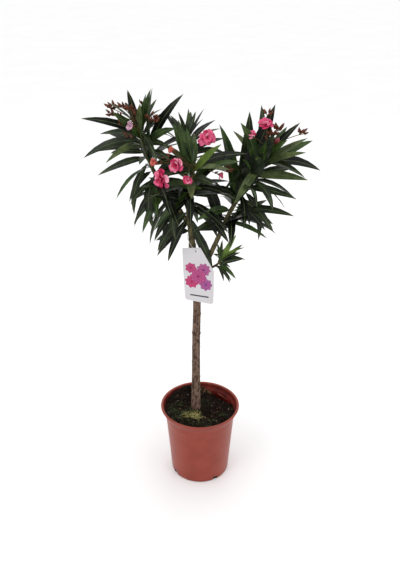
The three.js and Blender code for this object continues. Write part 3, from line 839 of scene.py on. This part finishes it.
def lean_of(whorl):
    """How far the leaves at a joint lean off the shoot."""
    return math.radians(LEAN_YOUNGEST + LEAN_GAIN * (1 - math.exp(-whorl["down"] / (LEAN_OVER * MM))))


def misfit(whorl, tip):
    """How badly a leaf from this joint to that tip would sit: its length, its lean and its neighbours."""
    chord = tip - whorl["at"]
    out = off_axis(whorl["axis"], chord)
    usual, lean = lengths_of(whorl), chord.angle(whorl["axis"])
    fault = abs(chord.length - usual) / usual * MISFIT["length"] + abs(lean - lean_of(whorl)) * MISFIT["lean"]
    fault += sum(max(0, out.dot(other) - 0.1) * MISFIT["crowd"] for other in whorl["out"])
    return fault + (MISFIT["full"] if len(whorl["out"]) >= WHORL_LEAVES else 0)


LEAF_FORM = blade_form("leaf_form", LEAF_RINGS, LEAF_SECTION)
LEAF_PAINTS = (  # each finish's two tones, then its scale, roughness, relief, grain and gloss
    ("leaf_old", (22, 29, 17), (46, 56, 34), 45, 0.36, 0.25, 12, 0.22),
    ("leaf_mid", (30, 44, 20), (58, 78, 36), 45, 0.36, 0.25, 12, 0.22),
    ("leaf_young", (66, 88, 30), (102, 124, 52), 45, 0.4, 0.25, 12, 0.22),
    ("leaf_rib", (70, 84, 50), (98, 114, 72), 60, 0.5, 0.1, 4, 0.22),
    ("leaf_back", (38, 48, 32), (68, 81, 57), 60, 0.6, 0.2, 4, 0.15),
    ("leaf_light", (52, 64, 36), (88, 99, 62), 45, 0.38, 0.25, 12, 0.22),
    ("leaf_dark", (7, 10, 6), (22, 27, 17), 45, 0.36, 0.25, 12, 0.2),
    ("leaf_back_dark", (20, 26, 17), (44, 54, 37), 60, 0.6, 0.2, 4, 0.12),
)
LEAF_FINISHES = [
    wandering(name, tint(*dark), tint(*light), scale, rough, relief=relief, grain=grain, gloss=gloss)
    for name, dark, light, scale, rough, relief, grain, gloss in LEAF_PAINTS
]
TONE_SLOTS = {  # the slots of its top, rib and back
    "old": (0, 3, 4), "mid": (1, 3, 4), "young": (2, 3, 4), "light": (5, 3, 4), "dark": (6, 3, 7),
}
deal = random.Random(7)
whorls = [whorl for limb_name in LEAFY for whorl in whorl_places(limb_name)]


def in_card_space(whorl, tip):
    """Whether a leaf from a joint to that tip would hang in front of the label."""
    low, high = (Vector(corner) * MM for corner in CARD_SPACE)
    along = [whorl["at"].lerp(tip, share) for share in (0.5, 0.75, 1)]
    along = [point + Vector((0, 0, min(0, CARD_SIGHT * point.y))) for point in along]
    return any(all(low[i] < point[i] < high[i] for i in range(3)) for point in along)


def before_bloom(whorl, tip):
    """Whether a leaf from a joint to that tip would stand between the viewer and a bloom."""
    for share in SIGHT_STEPS:
        seen = whorl["at"].lerp(tip, share) + Vector((0, 0, 6 * MM)) - EYE
        for x, y, z, reach in IN_VIEW:
            sight = Vector((x, y, z)) * MM - EYE
            along = seen.dot(sight.normalized())
            if along < sight.length and (seen - sight.normalized() * along).length < (reach + 4) * MM:
                return True
    return False


def is_barred(whorl, tip):
    """Whether a leaf from a joint to that tip would stand where none does."""
    low = whorl["limb"] == "bough_right" and tip.z < RIGHT_LOWEST
    return low or in_card_space(whorl, tip) or before_bloom(whorl, tip)


def add_leaf(shape, whorl, tip, tone=None, least_turned=0.3):
    """One leaf from a joint to its tip: it leaves the shoot steeply and bends over."""
    chord = tip - whorl["at"]
    out = off_axis(whorl["axis"], chord)
    whorl["out"].append(out)
    length = chord.length
    steep = (chord.normalized() + whorl["axis"] * deal.uniform(0.25, 0.6)).normalized()
    spine = (whorl["at"] + out * 2 * MM, whorl["at"] + steep * length * deal.uniform(0.4, 0.55), tip)
    face = chord.cross(whorl["axis"]).normalized().cross(chord.normalized())
    lit = off_axis(chord.normalized(), LIGHT)
    turned = deal.uniform(least_turned, 1)
    across = chord.cross(face * (1 - turned) + lit * turned).normalized()
    if not tone:
        tone = deal.choice(TONES_SHORT if length < SHORT else TONES_LOW if whorl["down"] > LOW else TONES)
    grow_blade(shape, LEAF_FORM, spine, leaf_breadth(length * deal.uniform(0.82, 1.16)), across,
               deal.uniform(0.1, 0.34), deal.uniform(-0.4, 0.4), deal.uniform(-0.35, 0.35), LEAF_THICK,
               TONE_SLOTS[tone])


HOME = {"bough_left": "foliage_left", "bough_right": "foliage_right", "bough_front": "foliage_front",
        "bough_back": "foliage_back", "side_shoot": "foliage_side_shoot"}
sprays = {node: bmesh.new() for node in GROWS_ON}
for plans, depth in ((HEAD_LEAVES, HEAD_DEPTH), (LOW_LEAVES, 1)):
    for limb_name, plan in plans.items():
        for offset, tone in plan:
            tip = limb_lines[limb_name][-1][0] + Vector(offset) * MM
            reachable = [whorl for whorl in whorls if whorl["limb"] == limb_name and whorl["down"] < depth]
            joint = min(reachable, key=lambda whorl: misfit(whorl, tip))
            add_leaf(sprays[HOME[limb_name]], joint, tip, tone, least_turned=0.8)
for node, limbs in GROWS_ON.items():
    for tip in lobe_tips(node):
        reachable = [whorl for whorl in whorls if whorl["limb"] in limbs]
        joint = min(reachable, key=lambda whorl: misfit(whorl, tip))
        if not is_barred(joint, tip):
            add_leaf(sprays[node], joint, tip)
for index, whorl in enumerate(whorls):
    level = off_axis(whorl["axis"], Vector((0, -1, 0)))
    turn = math.radians(60) * index + deal.uniform(-0.2, 0.2)
    for leaf in range(WHORL_LEAVES):
        out = Matrix.Rotation(turn + leaf * 2 * math.pi / WHORL_LEAVES, 3, whorl["axis"]) @ level
        taken = any(out.dot(other) > 0.55 for other in whorl["out"])
        if taken or len(whorl["out"]) >= WHORL_LEAVES:
            continue
        lean = lean_of(whorl) + deal.uniform(-0.15, 0.15)
        reach = lengths_of(whorl) * deal.uniform(0.74, 0.9)
        tip = whorl["at"] + (whorl["axis"] * math.cos(lean) + out * math.sin(lean)) * reach
        tip.z -= min(1, whorl["down"] / DROOPS_BY) * DROOP
        if not is_barred(whorl, tip):
            add_leaf(sprays[HOME[whorl["limb"]]], whorl, tip)

for node, spray in sprays.items():
    bmesh.ops.remove_doubles(spray, verts=spray.verts, dist=0.02 * MM)
    bmesh.ops.recalc_face_normals(spray, faces=spray.faces)
    leaves = make_object(node.replace("foliage", "leaves"), spray, LEAF_FINISHES)
    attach(leaves, "root")
    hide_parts(node)

# ---- Blooms and buds. Loose heads on branched red-brown stalks at the shoots' tips: double blooms of ruffled
# pink petals in four rounds, half-open ones, and pointed twisted buds, each in a small cup of sepals.
PETAL_RINGS = (0, 0.2, 0.42, 0.62, 0.8, 0.92, 0.985, 1)
PETAL_SECTION = ((-1, 0), (-0.5, 1), (0.5, 1), (1, 0), (0, -1))
PETAL_FORM = blade_form("petal_form", PETAL_RINGS, PETAL_SECTION)
PETAL_THICK = 0.2 * MM
PETAL_ROUNDS = ((6, 1.0, 72), (6, 0.88, 50), (5, 0.74, 33), (5, 0.56, 16))  # petals, length, opening
PETAL_LENGTH = 0.54  # of the bloom's width
PETAL_PAINTS = (  # each finish's two tones, then its scale
    ("petal_rose", (204, 62, 106), (224, 108, 142), 120),
    ("petal_deep", (172, 28, 72), (204, 56, 100), 120),
    ("petal_pale", (222, 126, 154), (236, 168, 186), 120),
    ("petal_salmon", (178, 66, 60), (218, 126, 112), 260),
    ("petal_lilac", (176, 130, 152), (222, 186, 202), 200),
)
PETAL_TONES = ((0, 0, 0), (0, 0, 0), (2, 2, 0), (1, 1, 1))  # the slots of its top, rib and back
HEART_TONE = (1, 1, 1)  # and of the innermost petals
ONE_TONE = {"salmon": (3, 3, 3), "lilac": (4, 4, 4)}
BLOOM_FINISHES = [
    wandering(name, tint(*dark), tint(*light), scale, 0.55, relief=0.3, grain=6)
    for name, dark, light, scale in PETAL_PAINTS
]
STALK_PAINTS = (  # each finish's two tones, then its scale and roughness
    ("stalk", (66, 56, 32), (98, 78, 46), 90, 0.6),
    ("bud_brown", (62, 32, 22), (118, 66, 44), 260, 0.5),
    ("bud_dark", (96, 36, 46), (160, 84, 92), 260, 0.5),
)
STALK_FINISHES = [
    wandering(name, tint(*dark), tint(*light), scale, rough)
    for name, dark, light, scale, rough in STALK_PAINTS
]
BROWN, DARK = 1, 2  # the buds' slots among those
OPENNESS = {"bloom": 1, "cup": 0.72, "half": 0.5, "salmon": 0.4, "lilac": 0.4}
FLOWER_HEADS = {  # from the shoot's tip in millimetres, what stands there, its width, and buds round it
    "bough_left": [
        ((-52, -15, 42), "brown", 5.4, 6), ((-32, -10, 44), "brown", 5.2, 5),
        ((-18, -20, 41), "brown", 5.6, 8), ((-4, -25, 34), "brown", 5.2, 7),
        ((-54, -25, 31), "brown", 5, 5), ((-42, -30, 29), "brown", 4.6, 4), ((8, 0, 49), "brown", 4.6, 3),
        ((26, -26, 26), "brown", 5.2, 5), ((33, -24, 19), "brown", 5.2, 6),
        ((-21, -46, -7), "brown", 4.4, 4), ((-33, -34, 15), "brown", 4.4, 4),
        ((-14, -40, 10), "lilac", 25, 1),
    ],
    "bough_right": [
        ((8, 0, 97), "brown", 4.8, 5), ((3, -15, 80), "cup", 31, 3), ((30, -10, 69), "brown", 5.4, 8),
        ((17, -20, 60), "brown", 5.4, 8), ((24, -30, 47), "dark", 10, 3), ((-26, -30, 61), "half", 25, 3),
        ((78, -3, 58), "brown", 5, 9), ((10, -25, 50), "brown", 5, 5),
    ],
    "bough_front": [
        ((-71, -24, -29), "bloom", 38, 2), ((-37, -24, 1), "cup", 36, 1), ((-12, -39, -23), "half", 29, 1),
        ((54, -4, -25), "half", 20, 2), ((-45, -12, 28), "salmon", 21, 3), ((-78, -16, 4), "salmon", 27, 1),
        ((68, 6, -16), "brown", 5, 9), ((-56, -20, 14), "brown", 4.8, 4),
    ],
    "bough_back": [((43, -88, 22), "bloom", 34, 2), ((-14, -60, 12), "brown", 4.8, 4)],
}
HEAD_STALK = (1.5 * MM, 2 * MM)  # its thickness, and how far it rises before it leans over
BLOOM_STALK = (1.1 * MM, 5 * MM)
BUD_STALK = (0.75 * MM, 0.5 * MM)
STALK_STEPS = 8
STALK_SIDES = 5
STALK_THINS = 0.35  # to its end
HEAD_ROOT = 14 * MM  # how far under the shoot's tip a head's stalk starts
HEAD_FORK = 0.4  # of the way up the head
SMALL_BUD = 3.8  # the width of those round a bloom
BUD_BEARING = 2.4  # from one to the next, in radians
BUD_RINGS = ((0, 0.25), (0.14, 0.7), (0.34, 1), (0.58, 0.86), (0.8, 0.5), (1, 0.06))  # along, and how wide
CUP_RINGS = (*BUD_RINGS[:3], (0.9, 0.8))
BUD_LAYERS = ((6, 2.3, 1, BUD_RINGS), (5, 0.95, 1.2, CUP_RINGS))  # sides, length by width, how wide, rings
BUD_TWIST = 1.4


def grow_stalk(shape, start, end, thickness, lift):
    """A thin stalk that rises before it leans over to its end."""
    middle = start + (end - start) * 0.5 + Vector((0, 0, lift))
    line = []
    for step in range(STALK_STEPS + 1):
        t = step / STALK_STEPS
        point = start * (1 - t) ** 2 + middle * 2 * t * (1 - t) + end * t ** 2
        line.append((point, thickness * (1 - STALK_THINS * t)))
    sweep(shape, line, STALK_SIDES)


def grow_bud(shape, foot, along, width, slot):
    """A pointed bud with its petals twisted round each other, in a cup of sepals."""
    turn = along.to_track_quat("Z", "X").to_matrix()
    faces = len(shape.faces)
    for sides, stretch, wide, cover in BUD_LAYERS:
        for (share, breadth), ring in zip(cover, tube_of_rings(shape, sides, len(cover))):
            radius, rise = width / 2 * breadth * wide, share * width * stretch
            for i, corner in enumerate(ring):
                bearing = 2 * math.pi * i / sides + share * BUD_TWIST
                out = Vector((math.cos(bearing) * radius, math.sin(bearing) * radius, rise))
                corner.co = foot + turn @ out
        shape.faces.ensure_lookup_table()
        for face in shape.faces[faces:]:
            face.material_index = slot
        faces, slot = len(shape.faces), BROWN


def petal_breadth(length):
    """Half the width along a petal, which is widest near its rounded end."""
    return lambda t: length * (0.08 + 0.42 * t ** 0.8 * (1 - t ** 7) ** 0.5)


def grow_bloom(shape, heart, along, width, openness, only=None):
    """A double bloom: rounds of ruffled petals, the outer ones wide open and pale, the inner ones closed."""
    turn = along.to_track_quat("Z", "X").to_matrix()
    for level, (count, size, opening) in enumerate(PETAL_ROUNDS):
        for i in range(count):
            bearing = 2 * math.pi * (i + 0.5 * level) / count + deal.uniform(-0.25, 0.25)
            out = turn @ Vector((math.cos(bearing), math.sin(bearing), 0))
            lean = math.radians(opening * openness + deal.uniform(-12, 12))
            curl = lean + math.radians(deal.uniform(5, 30) * openness)
            length = width * PETAL_LENGTH * size * deal.uniform(0.8, 1.12)
            spine = (heart, heart + (along * math.cos(lean) + out * math.sin(lean)) * length * 0.6,
                     heart + (along * math.cos(curl) + out * math.sin(curl)) * length)
            across = along.cross(out).normalized()
            tone = deal.choice(PETAL_TONES) if level < len(PETAL_ROUNDS) - 1 else HEART_TONE
            grow_blade(shape, PETAL_FORM, spine, petal_breadth(length), -across, 0.4, deal.uniform(-0.3, 0.3),
                       deal.uniform(-0.4, 0.4), PETAL_THICK, only or tone, ruffle=0.2)


blossom, stalks = bmesh.new(), bmesh.new()
for limb_name, flowers in FLOWER_HEADS.items():
    head = limb_lines[limb_name][-1][0]
    middle = sum((Vector(offset) for offset, *_ in flowers), Vector()) / len(flowers) * MM
    fork = head + middle * HEAD_FORK
    grow_stalk(stalks, head - Vector((0, 0, HEAD_ROOT)), fork, *HEAD_STALK)
    for offset, kind, width, buds in flowers:
        place = head + Vector(offset) * MM
        along = ((place - head).normalized() + Vector((0, -0.7, 0.45))).normalized()
        grow_stalk(stalks, fork, place - along * 8 * MM, *BLOOM_STALK)
        if kind in OPENNESS:
            place -= along * 0.3 * width * MM
            grow_bloom(blossom, place, along, width * MM, OPENNESS[kind], ONE_TONE.get(kind))
            grow_bud(stalks, place - along * width * 0.1 * MM, along, width * 0.16 * MM, BROWN)
        if kind == "dark":
            grow_bud(stalks, place - along * 9 * MM, along, width * MM, DARK)
        for i in range(buds):
            bearing = i * BUD_BEARING + deal.uniform(-0.4, 0.4)
            aside = Vector((math.cos(bearing), math.sin(bearing), deal.uniform(-0.3, 0.9))).normalized()
            size = (width if kind == "brown" else SMALL_BUD) * MM * deal.uniform(0.7, 1.15)
            tip = place + aside * deal.uniform(2.5, 7) * MM - along * 5 * MM
            grow_stalk(stalks, place - along * 10 * MM, tip, *BUD_STALK)
            grow_bud(stalks, tip, (along + aside * 0.7).normalized(), size, BROWN)
for name, shape, finishes in (("blooms", blossom, BLOOM_FINISHES),
                              ("buds_and_stalks", stalks, STALK_FINISHES)):
    bmesh.ops.recalc_face_normals(shape, faces=shape.faces)
    piece = make_object(name, shape, finishes)
    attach(piece, "root")

# ---- Label. A thin glossy card with one top corner cut off, printed with pink blossoms, which has twisted a
# little from its hole down. It hangs by a fine elastic loop round the stem.
CARD_WIDTH = 68 * MM
CARD_HEIGHT = 130 * MM
CARD_THICKNESS = 0.8 * MM
CARD_CORNER = 6 * MM
CARD_HOLE = Vector((30, -8)) * MM
CARD_HOLE_RADIUS = 2.4 * MM
CARD_CUT = ((0.57, 0), (1, -0.42))  # where its cut-off corner starts and ends, in widths and heights
CARD_ROWS = 40  # that it can bend in
CARD_COLUMNS = 10
CARD_ROLL = math.radians(1)
CARD_LEAN = math.radians(1.5)
CARD_TWIST = math.radians(24)
CARD_TOP_LEFT = Vector((-38 * MM, -13.6 * MM, 606 * MM))
card = bmesh.new()
card_outline = [(x * CARD_WIDTH, y * CARD_HEIGHT) for x, y in ((0, 0), *CARD_CUT, (1, -1), (0, -1))]
card.faces.new([card.verts.new((x, y, 0)) for x, y in card_outline])
feet = [corner for corner in card.verts if corner.co.y < -CARD_HEIGHT + MM]
bmesh.ops.bevel(card, geom=feet, offset=CARD_CORNER, offset_type="OFFSET", segments=8, profile=0.5,
                affect="VERTICES", material=-1)
cuts = [((0, -CARD_HEIGHT * i / CARD_ROWS), (0, 1)) for i in range(1, CARD_ROWS)]
cuts += [((CARD_WIDTH * i / CARD_COLUMNS, 0), (1, 0)) for i in range(1, CARD_COLUMNS)]
hole_room = CARD_HOLE_RADIUS * 1.6
cuts += [((0, CARD_HOLE.y + side), (0, 1)) for side in (-hole_room, hole_room)]
cuts += [((CARD_HOLE.x + side, 0), (1, 0)) for side in (-hole_room, hole_room)]
for (x, y), (across, up) in cuts:
    bmesh.ops.bisect_plane(card, geom=card.verts[:] + card.edges[:] + card.faces[:], plane_co=(x, y, 0),
                           plane_no=(across, up, 0))


def off_hole(face):
    """How far a face's middle is from the hole's, across and up."""
    return face.calc_center_median().xy - CARD_HOLE


inner = [face for face in card.faces if max(abs(off_hole(face).x), abs(off_hole(face).y)) < hole_room]
bmesh.ops.dissolve_faces(card, faces=inner)
patch = min(card.faces, key=lambda face: off_hole(face).length)
bmesh.ops.inset_region(card, faces=[patch], thickness=0.6 * MM)
bmesh.ops.subdivide_edges(card, edges=patch.edges[:], cuts=2)
patch = min(card.faces, key=lambda face: off_hole(face).length)
for corner in patch.verts:
    aside = corner.co.xy - CARD_HOLE
    corner.co.xy = CARD_HOLE + aside.normalized() * CARD_HOLE_RADIUS
bmesh.ops.delete(card, geom=[patch], context="FACES_ONLY")
printed = card.loops.layers.uv.new("print")
for face in card.faces:
    for loop in face.loops:
        loop[printed].uv = (loop.vert.co.x / CARD_WIDTH, 1 + loop.vert.co.y / CARD_HEIGHT)
bmesh.ops.solidify(card, geom=card.faces[:], thickness=CARD_THICKNESS)
bmesh.ops.recalc_face_normals(card, faces=card.faces)
for face in card.faces:
    face.normal_update()
    face.material_index = 0 if face.normal.z > 0.5 else 1  # only its front is printed
for corner in card.verts:
    place = Vector((corner.co.x - CARD_WIDTH / 2, corner.co.y, corner.co.z))
    place.rotate(Matrix.Rotation(CARD_TWIST * place.y / CARD_HEIGHT, 3, "Y"))
    place.x += CARD_WIDTH / 2
    place.rotate(Matrix.Rotation(CARD_ROLL, 3, "Z"))
    place.rotate(Matrix.Rotation(math.pi / 2 - CARD_LEAN, 3, "X"))
    corner.co = CARD_TOP_LEFT + place
bmesh.ops.recalc_face_normals(card, faces=card.faces)
CARD_WHITE = wandering("card_white", tint(194, 191, 193), tint(204, 201, 205), 20, 0.35, relief=0.1)
CARD_BACK = wandering("card_back", tint(190, 187, 189), tint(200, 197, 201), 20, 0.35, relief=0.1)
PRINTED_BLOOMS = [  # middle in millimetres from the top left corner, reach, petals, turn, and two tones
    ((17, -48), 13, 7, 0.4, (128, 22, 70), (184, 74, 122)),
    ((45, -52), 16, 9, 1.1, (112, 34, 92), (172, 92, 140)),
    ((18, -82), 16, 8, 2.0, (134, 18, 66), (190, 68, 114)),
    ((50, -86), 15, 8, 0.2, (108, 36, 98), (164, 88, 142)),
    ((33, -68), 19, 10, 0.9, (122, 26, 80), (180, 80, 130)),
]
PRINTED_ROUNDS = ((1, 0), (0.66, 1.6), (0.36, 0.7))  # of petals: how far they reach and are turned
PRINTED_GAP = (-0.86, 0.5)  # between petals: where the wave falls under it, and how dark it is
PRINTED_RULE = ((35, -115), (22, 1.7))  # its middle, and half its length and height


def math_node(material, operation, *values):
    """One step of sums in a material: each value is a number or another step's socket."""
    step = material.node_tree.nodes.new("ShaderNodeMath")
    step.operation = operation
    for socket, value in zip(step.inputs, values):
        if isinstance(value, (int, float)):
            socket.default_value = value
        else:
            material.node_tree.links.new(value, socket)
    return step.outputs["Value"]


def print_blooms(material):
    """Prints simple blooms with rounded petals and a plain rule on the card, by its own flat measure."""
    nodes, links = material.node_tree.nodes, material.node_tree.links
    shader = nodes["Principled BSDF"]
    ink = shader.inputs["Base Color"].links[0].from_socket
    measure = nodes.new("ShaderNodeUVMap")
    measure.uv_map = "print"
    apart = nodes.new("ShaderNodeSeparateXYZ")
    links.new(measure.outputs["UV"], apart.inputs["Vector"])
    across = math_node(material, "MULTIPLY", apart.outputs["X"], CARD_WIDTH / MM)
    from_top = math_node(material, "SUBTRACT", apart.outputs["Y"], 1)
    down = math_node(material, "MULTIPLY", from_top, CARD_HEIGHT / MM)
    for (x, y), reach, petals, turn, heart, petal in PRINTED_BLOOMS:
        aside = math_node(material, "SUBTRACT", across, x)
        above = math_node(material, "SUBTRACT", down, y)
        squares = [math_node(material, "POWER", value, 2) for value in (aside, above)]
        away = math_node(material, "SQRT", math_node(material, "ADD", *squares))
        bearing = math_node(material, "ARCTAN2", above, aside)
        for size, more in PRINTED_ROUNDS:
            turned = math_node(material, "MULTIPLY_ADD", bearing, petals, turn + more)
            wave = math_node(material, "COSINE", turned)
            edge = math_node(material, "MULTIPLY_ADD", wave, reach * size * 0.1, reach * size * 0.9)
            share = math_node(material, "DIVIDE", away, edge)
            tones = two_tones(material, share, tint(*heart), tint(*petal), 0.3, 0.85)
            tones.color_ramp.elements.new(1).color = tint(*heart)
            gaps = math_node(material, "LESS_THAN", wave, PRINTED_GAP[0])
            gaps = math_node(material, "MULTIPLY", gaps, PRINTED_GAP[1])
            bloom = lay_over(material, tones.outputs["Color"], tint(*heart), gaps)
            ink = lay_over(material, ink, bloom, math_node(material, "LESS_THAN", share, 1))
    (x, y), (half_length, half_height) = PRINTED_RULE
    inside = []
    for place, middle, half in ((across, x, half_length), (down, y, half_height)):
        off = math_node(material, "ABSOLUTE", math_node(material, "SUBTRACT", place, middle))
        inside.append(math_node(material, "LESS_THAN", off, half))
    ink = lay_over(material, ink, tint(62, 58, 66), math_node(material, "MULTIPLY", *inside))
    links.new(ink, shader.inputs["Base Color"])


print_blooms(CARD_WHITE)
label = make_object("label", card, [CARD_WHITE, CARD_BACK], smooth=False)
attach(label, "root")
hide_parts("label_card")

LOOP_ROUTE = [
    (-18.3, 8, 634), (-10, 4.4, 631), (-8.6, -5, 624), (-8.4, -13, 613), (-8.4, -16.1, 606),
    (-8.2, -15.9, 600), (-8.1, -14, 597.8), (-8.6, -12, 598.4), (-12, -11, 602), (-18.5, -10.8, 609),
    (-22.5, -9.6, 616), (-27.4, -4, 625), (-27, 4, 631), (-19.4, 8, 634),
]
LOOP_RADIUS = 0.5 * MM
KNOT = Vector((-18.8, 8.4, 634)) * MM
KNOT_RADIUS = 1.7 * MM
elastic = bpy.data.curves.new("elastic", "CURVE")
elastic.dimensions = "3D"
elastic.bevel_depth = LOOP_RADIUS
elastic.bevel_resolution = 2
elastic.resolution_u = 6
strand = elastic.splines.new("NURBS")
strand.points.add(len(LOOP_ROUTE) - 1)
for point, place in zip(strand.points, LOOP_ROUTE):
    point.co = (*(Vector(place) * MM), 1)
strand.use_cyclic_u = True
strand.order_u = 3
strung = bpy.data.objects.new("elastic", elastic)
loop_mesh = bmesh.new()
loop_mesh.from_mesh(strung.to_mesh())
bmesh.ops.create_icosphere(loop_mesh, subdivisions=2, radius=KNOT_RADIUS, matrix=Matrix.Translation(KNOT))
bpy.data.objects.remove(strung)
ELASTIC = wandering("elastic", tint(196, 194, 196), tint(226, 224, 226), 500, 0.5)
label_loop = make_object("label_elastic", loop_mesh, [ELASTIC])
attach(label_loop, "root")
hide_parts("label_loop")
